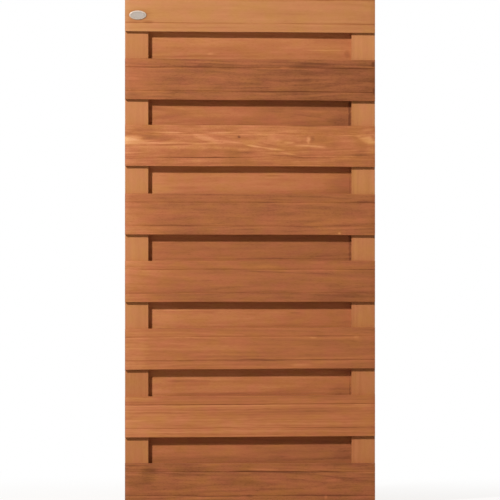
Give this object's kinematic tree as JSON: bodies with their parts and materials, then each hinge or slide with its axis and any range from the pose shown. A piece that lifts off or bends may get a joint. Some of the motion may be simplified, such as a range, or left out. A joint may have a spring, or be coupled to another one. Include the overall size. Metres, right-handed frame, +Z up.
{
  "type": "garden privacy screen",
  "caption": "Garden privacy screen of grooved horizontal boards fixed hit and miss on both sides of upright stiles, so that wind passes through and sight does not.",
  "frame": {"origin": "at the foot of the screen, midway along it and midway through the stiles", "axes": "+X along the boards to the right as the face is looked at, -Y out of the face, +Z up"},
  "size_m": [0.875, 0.071, 1.797],
  "materials": {
    "face_board_wood": "satin",
    "rear_board_wood": "satin",
    "stile_wood": "satin",
    "stainless_steel": "satin",
    "badge_metal": "satin"
  },
  "bodies": {
    "root": {"face_board_1": "face_board_wood", "face_board_2": "face_board_wood", "face_board_3": "face_board_wood", "face_board_4": "face_board_wood", "face_board_5": "face_board_wood", "face_board_6": "face_board_wood", "face_board_7": "face_board_wood", "face_board_8": "face_board_wood", "rear_board_1": "rear_board_wood", "rear_board_2": "rear_board_wood", "rear_board_3": "rear_board_wood", "rear_board_4": "rear_board_wood", "rear_board_5": "rear_board_wood", "rear_board_6": "rear_board_wood", "rear_board_7": "rear_board_wood", "stile_left": "stile_wood", "stile_right": "stile_wood", "screw_left_1_lower": "stainless_steel", "screw_left_1_upper": "stainless_steel", "screw_right_1_lower": "stainless_steel", "screw_right_1_upper": "stainless_steel", "screw_left_2_lower": "stainless_steel", "screw_left_2_upper": "stainless_steel", "screw_right_2_lower": "stainless_steel", "screw_right_2_upper": "stainless_steel", "screw_left_3_lower": "stainless_steel", "screw_left_3_upper": "stainless_steel", "screw_right_3_lower": "stainless_steel", "screw_right_3_upper": "stainless_steel", "screw_left_4_lower": "stainless_steel", "screw_left_4_upper": "stainless_steel", "screw_right_4_lower": "stainless_steel", "screw_right_4_upper": "stainless_steel", "screw_left_5_lower": "stainless_steel", "screw_left_5_upper": "stainless_steel", "screw_right_5_lower": "stainless_steel", "screw_right_5_upper": "stainless_steel", "screw_left_6_lower": "stainless_steel", "screw_left_6_upper": "stainless_steel", "screw_right_6_lower": "stainless_steel", "screw_right_6_upper": "stainless_steel", "screw_left_7_lower": "stainless_steel", "screw_left_7_upper": "stainless_steel", "screw_right_7_lower": "stainless_steel", "screw_right_7_upper": "stainless_steel", "end_screw_left_foot": "stainless_steel", "end_screw_left_top": "stainless_steel", "end_screw_right_foot": "stainless_steel", "end_screw_right_top": "stainless_steel", "badge_plate": "badge_metal", "badge_pin_left": "badge_metal", "badge_pin_right": "badge_metal"}
  },
  "joints": []
}
